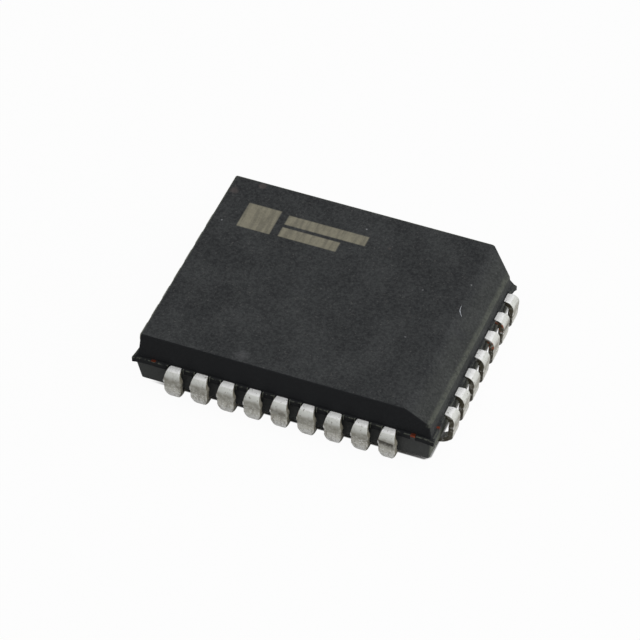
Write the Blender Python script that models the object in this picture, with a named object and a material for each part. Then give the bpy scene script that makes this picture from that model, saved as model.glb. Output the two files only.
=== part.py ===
"""Plastic leaded chip carrier: a moulded rectangular package with thirty-two J-shaped leads.

Units are metres and +Z is up. The origin is on the seating plane, under the middle of the
moulding. The sloped end with the round dimple faces +X, and pin 1 is the middle lead there.
"""

from math import cos, pi, radians, sin, sqrt, tan

import bmesh
import bpy
from mathutils import Matrix, Vector

MM = 0.001

# Lead pattern
LEAD_PITCH = 1.27 * MM
LONG_SIDE_LEADS = 9
SHORT_SIDE_LEADS = 7
CORNER_MARGIN = 1.905 * MM  # from the last lead's centre to the end of the moulding

# Moulding, measured at the parting line
STANDOFF = 0.48 * MM  # seating plane to the underside
LOWER_DEPTH = 1.305 * MM  # underside to the parting line
UPPER_DEPTH = 1.395 * MM  # parting line to the top
LOWER_DRAFT = radians(6.5)
UPPER_DRAFT = radians(5.0)
LAND_STEP = 0.04 * MM  # the lower half stands out past the upper half
CORNER_RADIUS = 0.10 * MM
EDGE_BREAK = 0.05 * MM
INDEX_CHAMFER = 1.143 * MM

# Flash between the leads, as thick as the lead frame that the mould closed on
FLASH_REACH = 0.10 * MM
FLASH_GAP = 0.12 * MM  # on the side of a lead where the punch passed
FLASH_SEAM = 0.03 * MM  # on its other side
LIP_REACH = 0.13 * MM  # further out at each corner
LIP_RUN = 0.60 * MM
LIP_RISE = 0.45 * MM
LIP_WAIST = 0.15 * MM
LIP_FLANK_SHARE = 1 / 2  # of the reach, where the corner's curve ends
LIP_WAIST_SHARE = 1 / 3  # of the reach, left at the waist
LIP_UNDER_SHARE = 1 / 2  # of the reach, where the lip meets the lower half

# Sloped edge and round dimple that mark the pin 1 end
SLOPE_RUN = 1.19 * MM
SLOPE_DROP = 0.62 * MM
DIMPLE_RADIUS = 0.53 * MM
DIMPLE_DEPTH = 0.17 * MM
DIMPLE_INSET = 0.50 * MM  # its centre to the foot of the slope
DIMPLE_STEPS = 24
DIMPLE_RINGS = 6

# Underside
POCKET_WIDTH = 0.86 * MM
POCKET_LENGTH = 0.70 * MM
POCKET_DEPTH = 0.30 * MM
EJECTOR_RADIUS = 0.80 * MM
EJECTOR_DEPTH = 0.06 * MM
EJECTOR_STEPS = 32

# Lead outside the moulding
LEAD_THICKNESS = 0.25 * MM
SHOULDER_REACH = 0.52 * MM  # parting line to the lead's outer face
SHOULDER_RADIUS = 0.36 * MM
SHOULDER_STEPS = 5
LEG_LEAN = radians(3.5)
FOOT_RADIUS = 0.85 * MM
FOOT_STEPS = 5
TAIL_WRAP = radians(60)  # past the lowest point
TAIL_STEPS = 4
ROOT_WIDTH = 0.50 * MM
NECK_WIDTH = 0.78 * MM
LEG_WIDTH = 0.79 * MM
FOOT_WIDTH = 0.40 * MM  # at the lowest point
FOOT_TAPER = radians(40)  # how far round the foot's bend the leg narrows
TAIL_WIDTH = 0.36 * MM

# Stubs left on the leg where the dam bar was cut away
DAM_START = 0.08 * MM
DAM_LENGTH = 0.18 * MM
DAM_WIDTH = 0.86 * MM
DAM_RAMP = 0.03 * MM

# Lead frame inside the moulding
CLEARANCE = 0.005 * MM
STRAIGHT_RUN = 0.90 * MM  # finger from the wall to its elbow
FINGER_GAP = 0.35 * MM  # finger tip to the paddle
FINGER_TIP_WIDTH = 0.35 * MM
FINGER_SPREAD_MARGIN = 0.20 * MM
PADDLE_LENGTH = 7.00 * MM
PADDLE_WIDTH = 5.00 * MM
PADDLE_DROP = 0.20 * MM
TIE_WIDTH = 0.22 * MM
TIE_INSET = 0.83 * MM  # cut end of a tie bar to the moulding's corner
TIE_ROOT = 0.50 * MM
DROP_START = 0.15 * MM
DROP_RUN = 0.35 * MM

# Die and wire bonds
DIE_LENGTH = 5.80 * MM
DIE_WIDTH = 4.20 * MM
DIE_THICKNESS = 0.38 * MM
BOND_LINE = 0.03 * MM
BOND_FILLET = 0.10 * MM
PAD_INSET = 0.12 * MM
PAD_SPREAD_MARGIN = 0.35 * MM
WIRE_DIAMETER = 0.03 * MM
WIRE_SIDES = 5
WIRE_STEPS = 4
LOOP_RISE = 0.22 * MM
FIRST_PULL = 0.4  # how far along the wire, and how many rises up, its first control point is
FIRST_LIFT = 1.5
BALL_DIAMETER = 0.09 * MM
BALL_HEIGHT = 0.03 * MM
NECK_RISE = 0.05 * MM
STITCH_INSET = 0.20 * MM

# Cutters run past the faces that they cut
OVERRUN = 0.40 * MM

BODY_LENGTH = (LONG_SIDE_LEADS - 1) * LEAD_PITCH + 2 * CORNER_MARGIN
BODY_WIDTH = (SHORT_SIDE_LEADS - 1) * LEAD_PITCH + 2 * CORNER_MARGIN
PARTING_Z = STANDOFF + LOWER_DEPTH
TOP_Z = PARTING_Z + UPPER_DEPTH
FRAME_TOP = PARTING_Z + LEAD_THICKNESS / 2
FRAME_BOTTOM = PARTING_Z - LEAD_THICKNESS / 2
PADDLE_Z = PARTING_Z - PADDLE_DROP
PADDLE_TOP = PADDLE_Z + LEAD_THICKNESS / 2
BOND_Z = PADDLE_TOP + CLEARANCE
DIE_Z = BOND_Z + BOND_LINE + CLEARANCE
DIE_TOP = DIE_Z + DIE_THICKNESS


def clear_scene():
    for obj in list(bpy.data.objects):
        bpy.data.objects.remove(obj, do_unlink=True)


def material(name, colour, roughness, metallic):
    made = bpy.data.materials.new(name)
    made.use_nodes = True
    shader = made.node_tree.nodes["Principled BSDF"]
    shader.inputs["Base Color"].default_value = (*colour, 1)
    shader.inputs["Roughness"].default_value = roughness
    shader.inputs["Metallic"].default_value = metallic
    made.diffuse_color = (*colour, 1)
    return made


def add_object(name, mesh, finish=None, matrix=None):
    """Turns a bmesh into an object whose faces point outwards."""
    bmesh.ops.recalc_face_normals(mesh, faces=mesh.faces)
    data = bpy.data.meshes.new(name)
    mesh.to_mesh(data)
    mesh.free()
    obj = bpy.data.objects.new(name, data)
    bpy.context.scene.collection.objects.link(obj)
    if finish:
        data.materials.append(finish)
    if matrix:
        obj.matrix_world = matrix
    return obj


def add_cutter(name, mesh, matrix=None):
    """An object that only shapes others."""
    obj = add_object(name, mesh, None, matrix)
    obj.hide_render = True
    obj.display_type = "WIRE"
    return obj


def combine(obj, other, operation):
    step = obj.modifiers.new(other.name, "BOOLEAN")
    step.operation = operation
    step.solver = "EXACT"
    step.object = other


def loft(mesh, rings):
    """Closed solid through rings of equal length, with flat ends."""
    for below, above in zip(rings, rings[1:]):
        for index in range(len(below)):
            after = (index + 1) % len(below)
            mesh.faces.new((below[index], below[after], above[after], above[index]))
    mesh.faces.new(list(reversed(rings[0])))
    mesh.faces.new(rings[-1])


def add_prism(mesh, outline, bottom, top):
    rings = []
    for height in (bottom, top):
        rings.append([mesh.verts.new((point[0], point[1], height)) for point in outline])
    loft(mesh, rings)


def rectangle(low_x, high_x, low_y, high_y):
    return [(low_x, low_y), (high_x, low_y), (high_x, high_y), (low_x, high_y)]


def add_box(mesh, length, width, bottom, top):
    add_prism(mesh, rectangle(-length / 2, length / 2, -width / 2, width / 2), bottom, top)


def add_ribbon(mesh, path, width, thickness):
    """Flat bar along a path, lying level, mitred where the path turns."""
    rings = []
    for index, point in enumerate(path):
        before = path[max(index - 1, 0)]
        after = path[min(index + 1, len(path) - 1)]
        into = ((point if index else after) - (before if index else point)).xy.normalized()
        onward = (after - point).xy.normalized() if index < len(path) - 1 else into
        bisector = (into + onward).normalized()
        across = Vector((-bisector.y, bisector.x, 0)) * (width / 2 / bisector.dot(into))
        rise = Vector((0, 0, thickness / 2))
        corners = (point - across - rise, point + across - rise, point + across + rise, point - across + rise)
        rings.append([mesh.verts.new(corner) for corner in corners])
    loft(mesh, rings)


# Moulding


def body_outline(inset, lip=0.0):
    """Points round the moulding at one height, with rounded corners that a lip can push out."""
    half_x = BODY_LENGTH / 2 - inset
    half_y = BODY_WIDTH / 2 - inset
    chamfer = INDEX_CHAMFER - inset * (2 - sqrt(2))
    corners = [
        Vector((-half_x, -half_y)),
        Vector((half_x, -half_y)),
        Vector((half_x, half_y - chamfer)),
        Vector((half_x - chamfer, half_y)),
        Vector((-half_x, half_y)),
    ]
    points = []
    for index, corner in enumerate(corners):
        back = (corners[index - 1] - corner).normalized()
        on = (corners[(index + 1) % len(corners)] - corner).normalized()
        turn = (-back).angle(on)
        outward = -(back + on).normalized()
        tangent = CORNER_RADIUS * tan(turn / 2)
        crown = corner - outward * (CORNER_RADIUS * (1 / cos(turn / 2) - 1))
        points.append(corner + back * LIP_RUN)
        points.append(corner + back * tangent + outward * lip * LIP_FLANK_SHARE)
        points.append(crown + outward * lip)
        points.append(corner + on * tangent + outward * lip * LIP_FLANK_SHARE)
        points.append(corner + on * LIP_RUN)
    return points


def upper_inset(height):
    return LAND_STEP + (height - FRAME_TOP) * tan(UPPER_DRAFT)


def lower_inset(height):
    return (FRAME_BOTTOM - height) * tan(LOWER_DRAFT)


def slope_foot():
    """X and Z of the lower edge of the slope on the pin 1 end."""
    height = TOP_Z - SLOPE_DROP
    return BODY_LENGTH / 2 - upper_inset(height), height


def moulding_mesh():
    """Two drafted halves with flash between them, and with the pin 1 end sloped."""
    waist = FRAME_TOP + LIP_WAIST
    levels = [
        (STANDOFF, lower_inset(STANDOFF) + EDGE_BREAK, 0),
        (STANDOFF + EDGE_BREAK, lower_inset(STANDOFF + EDGE_BREAK), 0),
        (FRAME_BOTTOM, 0, LIP_REACH * LIP_UNDER_SHARE),
        (FRAME_BOTTOM, -FLASH_REACH, LIP_REACH),
        (FRAME_TOP, -FLASH_REACH, LIP_REACH),
        (FRAME_TOP, LAND_STEP, LIP_REACH),
        (waist, upper_inset(waist), LIP_REACH * LIP_WAIST_SHARE),
        (FRAME_TOP + LIP_RISE, upper_inset(FRAME_TOP + LIP_RISE), 0),
        (TOP_Z - EDGE_BREAK, upper_inset(TOP_Z - EDGE_BREAK), 0),
        (TOP_Z, upper_inset(TOP_Z) + EDGE_BREAK, 0),
    ]
    mesh = bmesh.new()
    rings = []
    for height, inset, lip in levels:
        rings.append([mesh.verts.new((*point, height)) for point in body_outline(inset, lip)])
    loft(mesh, rings)
    bmesh.ops.triangulate(mesh, faces=[face for face in mesh.faces if len(face.verts) == 4])
    foot_x, foot_z = slope_foot()
    sliced = bmesh.ops.bisect_plane(
        mesh,
        geom=mesh.verts[:] + mesh.edges[:] + mesh.faces[:],
        plane_co=(foot_x, 0, foot_z),
        plane_no=(SLOPE_DROP, 0, SLOPE_RUN),
        clear_outer=True,
    )
    rim = [part for part in sliced["geom_cut"] if isinstance(part, bmesh.types.BMEdge)]
    bmesh.ops.contextual_create(mesh, geom=rim)
    return mesh


def dimple_mesh():
    """Cap of a ball that presses a round dimple into the middle of the slope."""
    foot_x, foot_z = slope_foot()
    rise = SLOPE_DROP / SLOPE_RUN
    centre = Vector((foot_x - DIMPLE_INSET, 0, foot_z + DIMPLE_INSET * rise))
    outward = Vector((rise, 0, 1)).normalized()
    ball = (DIMPLE_RADIUS**2 + DIMPLE_DEPTH**2) / (2 * DIMPLE_DEPTH)
    mesh = bmesh.new()
    rings = []
    for ring in range(1, DIMPLE_RINGS + 1):
        radius = DIMPLE_RADIUS * ring / DIMPLE_RINGS
        height = ball - DIMPLE_DEPTH - sqrt(ball**2 - radius**2)
        rings.append((radius, height))
    rings.append((DIMPLE_RADIUS, OVERRUN))
    turn = outward.to_track_quat("Z", "Y").to_matrix()
    placed = []
    for radius, height in rings:
        ring = []
        for step in range(DIMPLE_STEPS):
            angle = 2 * pi * step / DIMPLE_STEPS
            spot = Vector((radius * cos(angle), radius * sin(angle), height))
            ring.append(mesh.verts.new(centre + turn @ spot))
        placed.append(ring)
    loft(mesh, placed)
    return mesh


def ejector_mesh():
    """Round mark that the ejector pin leaves in the underside."""
    outline = []
    for step in range(EJECTOR_STEPS):
        angle = 2 * pi * step / EJECTOR_STEPS
        outline.append((EJECTOR_RADIUS * cos(angle), EJECTOR_RADIUS * sin(angle)))
    mesh = bmesh.new()
    add_prism(mesh, outline, STANDOFF - OVERRUN, STANDOFF + EJECTOR_DEPTH)
    return mesh


# Leads


def lead_places():
    """Number, side and place of each lead, anticlockwise from above from the -Y side's -X end."""
    long_side = (LONG_SIDE_LEADS, BODY_WIDTH, PADDLE_WIDTH, PADDLE_LENGTH, DIE_WIDTH, DIE_LENGTH)
    short_side = (SHORT_SIDE_LEADS, BODY_LENGTH, PADDLE_LENGTH, PADDLE_WIDTH, DIE_LENGTH, DIE_WIDTH)
    total = 2 * (LONG_SIDE_LEADS + SHORT_SIDE_LEADS)
    first = total - SHORT_SIDE_LEADS // 2 - LONG_SIDE_LEADS
    places = []
    for quarter, side in enumerate((long_side, short_side, long_side, short_side)):
        count, body, paddle, paddle_edge, die, die_edge = side
        turn = Matrix.Rotation(quarter * pi / 2, 4, "Z")
        for index in range(count):
            along = (index - (count - 1) / 2) * LEAD_PITCH
            share = along / ((count - 1) / 2 * LEAD_PITCH)
            place = {
                "number": (first + len(places)) % total + 1,
                "matrix": turn @ Matrix.Translation((along, -body / 2, 0)),
                "tip": Vector((
                    share * (paddle_edge / 2 - FINGER_SPREAD_MARGIN) - along,
                    (body - paddle) / 2 - FINGER_GAP,
                )),
                "pad": Vector((
                    share * (die_edge / 2 - PAD_SPREAD_MARGIN) - along,
                    (body - die) / 2 + PAD_INSET,
                )),
            }
            places.append(place)
    return places


def finger_sections(place, grow=0.0):
    """Sections of the finger inside the moulding, from its tip to the wall."""
    top = FRAME_TOP + grow
    bottom = FRAME_BOTTOM - grow
    tip = place["tip"]
    return [
        (tip.x, tip.y + grow, top, tip.y + grow, bottom, FINGER_TIP_WIDTH / 2 + grow),
        (0, STRAIGHT_RUN, top, STRAIGHT_RUN, bottom, ROOT_WIDTH / 2 + grow),
        (0, 0, top, 0, bottom, ROOT_WIDTH / 2 + grow),
    ]


def arc_sections(centre, radius, angles):
    """Outer and inner points of a bent strip whose facets touch the arc at the given angles."""
    points = []
    for first, second in zip(angles, angles[1:]):
        angle = (first + second) / 2
        stretch = 1 / cos((first - second) / 2)
        direction = Vector((cos(angle), sin(angle))) * stretch
        points.append((centre + direction * radius, centre + direction * (radius - LEAD_THICKNESS)))
    return points


def bend_centres():
    """Centres of the shoulder and foot bends, as distance out from the wall and height."""
    shoulder = Vector((SHOULDER_REACH - SHOULDER_RADIUS, FRAME_TOP - SHOULDER_RADIUS))
    face = Vector((cos(LEG_LEAN), -sin(LEG_LEAN)))
    offset = face.dot(shoulder) + SHOULDER_RADIUS - FOOT_RADIUS
    foot = Vector(((offset - face.y * FOOT_RADIUS) / face.x, FOOT_RADIUS))
    return shoulder, foot


def tail_angle():
    return -pi / 2 - TAIL_WRAP


def leg_sections():
    """Sections of the lead outside the moulding, as outer point, inner point and half width."""
    shoulder, foot = bend_centres()
    angles = [pi / 2 * (1 - step / SHOULDER_STEPS) for step in range(SHOULDER_STEPS + 1)]
    angles.append(-LEG_LEAN)
    flat = SHOULDER_REACH - SHOULDER_RADIUS
    flare = flat + SHOULDER_RADIUS * (pi / 2 + LEG_LEAN)
    sections = []
    bend = arc_sections(shoulder, SHOULDER_RADIUS, angles)
    for first, second, (outer, inner) in zip(angles, angles[1:], bend):
        run = flat + SHOULDER_RADIUS * (pi / 2 - (first + second) / 2)
        sections.append((outer, inner, (ROOT_WIDTH + (NECK_WIDTH - ROOT_WIDTH) * run / flare) / 2))

    face = Vector((cos(LEG_LEAN), -sin(LEG_LEAN)))
    down = Vector((face.y, -face.x))
    start = shoulder + face * SHOULDER_RADIUS
    stub = [
        (DAM_START - DAM_RAMP, NECK_WIDTH),
        (DAM_START, DAM_WIDTH),
        (DAM_START + DAM_LENGTH, DAM_WIDTH),
        (DAM_START + DAM_LENGTH + DAM_RAMP, LEG_WIDTH),
    ]
    for distance, width in stub:
        outer = start + down * distance
        sections.append((outer, outer - face * LEAD_THICKNESS, width / 2))

    span = pi / 2 - LEG_LEAN
    angles = [-LEG_LEAN - span * step / FOOT_STEPS for step in range(FOOT_STEPS + 1)]
    widths = []
    for first, second in zip(angles, angles[1:]):
        share = min(1, (-LEG_LEAN - (first + second) / 2) / FOOT_TAPER)
        widths.append(LEG_WIDTH + (FOOT_WIDTH - LEG_WIDTH) * share)
    for step in range(1, TAIL_STEPS + 1):
        angles.append(-pi / 2 - TAIL_WRAP * step / TAIL_STEPS)
        widths.append(FOOT_WIDTH + (TAIL_WIDTH - FOOT_WIDTH) * step / TAIL_STEPS)
    bend = arc_sections(foot, FOOT_RADIUS, angles)
    end = Vector((cos(tail_angle()), sin(tail_angle())))
    bend.append((foot + end * FOOT_RADIUS, foot + end * (FOOT_RADIUS - LEAD_THICKNESS)))
    widths.append(TAIL_WIDTH)
    for (outer, inner), width in zip(bend, widths):
        sections.append((outer, inner, width / 2))
    return sections


def add_strip(mesh, sections, matrix):
    """Solid strip through sections: middle, outer depth and height, inner depth and height, half width."""
    rings = []
    for middle, outer_y, outer_z, inner_y, inner_z, half in sections:
        corners = [
            (middle - half, outer_y, outer_z),
            (middle + half, outer_y, outer_z),
            (middle + half, inner_y, inner_z),
            (middle - half, inner_y, inner_z),
        ]
        rings.append([mesh.verts.new(matrix @ Vector(corner)) for corner in corners])
    loft(mesh, rings)


def lead_mesh(place):
    sections = finger_sections(place)
    for outer, inner, half in leg_sections():
        sections.append((0, -outer.x, outer.y, -inner.x, inner.y, half))
    mesh = bmesh.new()
    add_strip(mesh, sections, Matrix.Identity(4))
    return mesh


def slots_mesh(places):
    """Room for every finger, running out through the wall."""
    mesh = bmesh.new()
    for place in places:
        sections = finger_sections(place, CLEARANCE)
        middle, _, top, _, bottom, half = sections[-1]
        sections[-1] = (middle, -OVERRUN, top, -OVERRUN, bottom, half)
        add_strip(mesh, sections, place["matrix"])
    return mesh


def flash_gaps_mesh(places):
    """Gaps in the flash round every lead, wider on the side where the punch passed."""
    low = -ROOT_WIDTH / 2 - FLASH_GAP
    high = ROOT_WIDTH / 2 + FLASH_SEAM
    mesh = bmesh.new()
    for place in places:
        outline = rectangle(low, high, -FLASH_REACH - OVERRUN, 0)
        placed = [(place["matrix"] @ Vector((*point, 0))).xy for point in outline]
        add_prism(mesh, placed, FRAME_BOTTOM - FLASH_SEAM, FRAME_TOP + FLASH_SEAM)
    return mesh


def pockets_mesh(places):
    """Pockets in the underside that the lead tails turn up into."""
    foot = bend_centres()[1]
    reach = foot.x + (FOOT_RADIUS - LEAD_THICKNESS / 2) * cos(tail_angle())
    outline = rectangle(
        -POCKET_WIDTH / 2,
        POCKET_WIDTH / 2,
        -reach - POCKET_LENGTH / 2,
        -reach + POCKET_LENGTH / 2,
    )
    mesh = bmesh.new()
    for place in places:
        placed = [(place["matrix"] @ Vector((*point, 0))).xy for point in outline]
        add_prism(mesh, placed, STANDOFF - OVERRUN, STANDOFF + POCKET_DEPTH)
    return mesh


# Wire bonds


def wire_path(place):
    """Points and radii along a bond wire, from the stitch on its finger to the ball on the die."""
    tip = Vector((*place["tip"], FRAME_TOP))
    elbow = Vector((0, STRAIGHT_RUN, FRAME_TOP))
    stitch = tip + (elbow - tip).normalized() * STITCH_INSET
    ball = Vector((*place["pad"], DIE_TOP + CLEARANCE))
    run = Vector((ball.x - stitch.x, ball.y - stitch.y, 0))
    rise = Vector((0, 0, LOOP_RISE))
    start = stitch + run.normalized() * WIRE_DIAMETER + Vector((0, 0, WIRE_DIAMETER))
    end = ball + Vector((0, 0, BALL_HEIGHT + NECK_RISE))
    controls = [start, start + run * FIRST_PULL + rise * FIRST_LIFT, end + rise, end]
    radius = WIRE_DIAMETER / 2
    points = [(stitch - Vector((0, 0, WIRE_DIAMETER)), radius)]
    for step in range(WIRE_STEPS + 1):
        share = step / WIRE_STEPS
        left = 1 - share
        weights = (left**3, 3 * left**2 * share, 3 * left * share**2, share**3)
        points.append((sum((c * w for c, w in zip(controls, weights)), Vector()), radius))
    points.append((ball + Vector((0, 0, BALL_HEIGHT + radius)), radius))
    points.append((ball + Vector((0, 0, BALL_HEIGHT)), BALL_DIAMETER / 2))
    points.append((ball, BALL_DIAMETER / 2))
    return points, run.normalized()


def add_wire(mesh, place, grow, matrix):
    """Tube along the wire's path, which lies in one upright plane."""
    path, run = wire_path(place)
    if grow:
        last, radius = path[-1]
        path[-1] = (last - Vector((0, 0, grow)), radius)
    side = Vector((-run.y, run.x, 0))
    rings = []
    for index, (point, radius) in enumerate(path):
        before = path[max(index - 1, 0)][0]
        after = path[min(index + 1, len(path) - 1)][0]
        up = side.cross(after - before).normalized()
        ring = []
        for corner in range(WIRE_SIDES):
            angle = 2 * pi * corner / WIRE_SIDES
            reach = radius + grow
            spot = point + side * (reach * cos(angle)) + up * (reach * sin(angle))
            ring.append(mesh.verts.new(matrix @ spot))
        rings.append(ring)
    loft(mesh, rings)


def channels_mesh(places):
    mesh = bmesh.new()
    for place in places:
        add_wire(mesh, place, CLEARANCE, place["matrix"])
    return mesh


# Paddle, tie bars and die


def tie_corners():
    """Corner of the paddle and elbow of the tie bar for each corner of the frame."""
    corners = []
    for sign_x, sign_y in ((-1, -1), (1, -1), (1, 1), (-1, 1)):
        paddle = Vector((sign_x * PADDLE_LENGTH / 2, sign_y * PADDLE_WIDTH / 2, PADDLE_Z))
        elbow = Vector((
            sign_x * (BODY_LENGTH / 2 - TIE_INSET),
            sign_y * (BODY_WIDTH / 2 - TIE_INSET),
            PARTING_Z,
        ))
        corners.append((paddle, elbow, sign_x, sign_y))
    return corners


def tie_arms_mesh(grow=0.0):
    """Arms that step up from the paddle's corners to the lead frame's plane."""
    mesh = bmesh.new()
    for paddle, elbow, _, _ in tie_corners():
        run = elbow - paddle
        run.z = 0
        run.normalize()
        step = Vector((0, 0, PADDLE_DROP))
        path = [
            paddle - run * TIE_ROOT,
            paddle + run * DROP_START,
            paddle + run * (DROP_START + DROP_RUN) + step,
            elbow,
        ]
        add_ribbon(mesh, path, TIE_WIDTH + 2 * grow, LEAD_THICKNESS + 2 * grow)
    return mesh


def tie_ends_mesh(grow=0.0):
    """Forked ends of the tie bars, which run out past both walls of each corner."""
    mesh = bmesh.new()
    for _, elbow, sign_x, sign_y in tie_corners():
        beyond = TIE_INSET + OVERRUN
        path = [
            elbow + Vector((0, sign_y * beyond, 0)),
            elbow,
            elbow + Vector((sign_x * beyond, 0, 0)),
        ]
        add_ribbon(mesh, path, TIE_WIDTH + 2 * grow, LEAD_THICKNESS + 2 * grow)
    return mesh


def paddle_mesh(grow=0.0):
    mesh = bmesh.new()
    bottom = PADDLE_TOP - LEAD_THICKNESS - grow
    add_box(mesh, PADDLE_LENGTH + 2 * grow, PADDLE_WIDTH + 2 * grow, bottom, PADDLE_TOP + grow)
    return mesh


def trim_mesh():
    """Solid of the flash's outline, which the tie bars are cut flush with."""
    mesh = bmesh.new()
    add_prism(mesh, body_outline(-FLASH_REACH), PADDLE_Z - OVERRUN, FRAME_TOP + OVERRUN)
    return mesh


def die_mesh():
    mesh = bmesh.new()
    add_box(mesh, DIE_LENGTH, DIE_WIDTH, DIE_Z, DIE_TOP)
    return mesh


def bond_outline():
    return DIE_LENGTH + 2 * BOND_FILLET, DIE_WIDTH + 2 * BOND_FILLET


def bond_mesh():
    mesh = bmesh.new()
    add_box(mesh, *bond_outline(), BOND_Z, BOND_Z + BOND_LINE)
    return mesh


def bond_recess_mesh():
    length, width = bond_outline()
    mesh = bmesh.new()
    top = BOND_Z + BOND_LINE + CLEARANCE
    add_box(mesh, length + 2 * CLEARANCE, width + 2 * CLEARANCE, PADDLE_TOP, top)
    return mesh


def die_recess_mesh():
    mesh = bmesh.new()
    length = DIE_LENGTH + 2 * CLEARANCE
    width = DIE_WIDTH + 2 * CLEARANCE
    add_box(mesh, length, width, BOND_Z, DIE_TOP + CLEARANCE)
    return mesh


# Assembly


def build_lead(place, finish):
    name = f"lead_{place['number']:02d}"
    lead = add_object(name, lead_mesh(place), finish, place["matrix"])
    mesh = bmesh.new()
    add_wire(mesh, place, 0.0, Matrix.Identity(4))
    combine(lead, add_cutter(f"bond_wire_{place['number']:02d}", mesh, place["matrix"]), "UNION")


def build_paddle(finish):
    paddle = add_object("die_paddle", paddle_mesh(), finish)
    combine(paddle, add_cutter("tie_arms", tie_arms_mesh()), "UNION")
    combine(paddle, add_cutter("tie_ends", tie_ends_mesh()), "UNION")
    combine(paddle, add_cutter("tie_trim", trim_mesh()), "INTERSECT")


def build_moulding(places, finish):
    body = add_object("molded_body", moulding_mesh(), finish)
    cutters = [
        ("pin_1_dimple", dimple_mesh()),
        ("ejector_mark", ejector_mesh()),
        ("foot_pockets", pockets_mesh(places)),
        ("flash_gaps", flash_gaps_mesh(places)),
        ("lead_slots", slots_mesh(places)),
        ("paddle_recess", paddle_mesh(CLEARANCE)),
        ("tie_arm_recess", tie_arms_mesh(CLEARANCE)),
        ("tie_end_recess", tie_ends_mesh(CLEARANCE)),
        ("bond_recess", bond_recess_mesh()),
        ("die_recess", die_recess_mesh()),
        ("wire_channels", channels_mesh(places)),
    ]
    for name, mesh in cutters:
        combine(body, add_cutter(name, mesh), "DIFFERENCE")


def main():
    clear_scene()
    mould_compound = material("mould_compound", (0.045, 0.045, 0.050), 0.62, 0.0)
    tin_plate = material("tin_plate", (0.62, 0.61, 0.58), 0.42, 1.0)
    copper_alloy = material("copper_alloy", (0.55, 0.24, 0.12), 0.40, 1.0)
    die_adhesive = material("die_adhesive", (0.45, 0.45, 0.44), 0.55, 0.3)
    silicon = material("silicon", (0.20, 0.21, 0.24), 0.15, 0.6)

    places = lead_places()
    build_moulding(places, mould_compound)
    for place in places:
        build_lead(place, tin_plate)
    build_paddle(copper_alloy)
    add_object("die_attach", bond_mesh(), die_adhesive)
    add_object("silicon_die", die_mesh(), silicon)


main()
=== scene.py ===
"""Moulded chip carrier with thirty-two J-shaped leads: fine shapes and finishes on the fixed model."""

from math import cos, pi, radians, sin, sqrt, tan

import bmesh
import bpy
from mathutils import Matrix, Vector, noise


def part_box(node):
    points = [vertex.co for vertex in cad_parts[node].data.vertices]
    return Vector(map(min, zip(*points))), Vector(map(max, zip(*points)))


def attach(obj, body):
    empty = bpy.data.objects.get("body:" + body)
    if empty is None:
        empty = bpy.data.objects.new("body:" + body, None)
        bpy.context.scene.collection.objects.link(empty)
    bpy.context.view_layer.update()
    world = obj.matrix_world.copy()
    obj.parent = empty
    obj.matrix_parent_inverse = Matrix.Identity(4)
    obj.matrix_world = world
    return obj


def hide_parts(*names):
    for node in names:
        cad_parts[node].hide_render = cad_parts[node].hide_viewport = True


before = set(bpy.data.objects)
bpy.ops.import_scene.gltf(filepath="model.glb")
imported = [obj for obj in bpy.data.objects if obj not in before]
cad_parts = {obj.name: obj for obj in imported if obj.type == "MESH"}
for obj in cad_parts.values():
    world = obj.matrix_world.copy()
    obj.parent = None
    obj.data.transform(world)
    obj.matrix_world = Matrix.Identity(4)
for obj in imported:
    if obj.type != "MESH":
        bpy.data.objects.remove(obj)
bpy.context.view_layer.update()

# Die paddle and tie bars
# Punched from a sheet of copper alloy a quarter of a millimetre thick, with a tie bar to each corner.
# The paddle carries the die inside the moulding, and only the tie bars' cut ends show, in the flash.
# A film of resin covers part of those ends; its bounds and all others below are in millimetres.
MM = 0.001
COPPER = (0.34, 0.070, 0.028)
COPPER_TARNISH = (0.13, 0.040, 0.030)
# Near-black, for the resin film on the tie bars' ends and for painted shade at the leads' roots.
FILM_AND_SHADE = (0.018, 0.018, 0.017)
FILM_TOP = (1.76, 1.80)
FILM_TILT = 0.010
FILM_RAGGED = 0.05
FILM_CORNER = (10.5, 10.6)
FILM_END = (6.90, 6.95)
FILM_SIDE = (-4.89, -4.85)


def in_use(sockets, name):
    """The socket of this name or place, among those that the node's settings leave in use."""
    used = [socket for socket in sockets if socket.enabled]
    if isinstance(name, int):
        return used[name]
    return next(socket for socket in used if socket.name == name)


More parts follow.
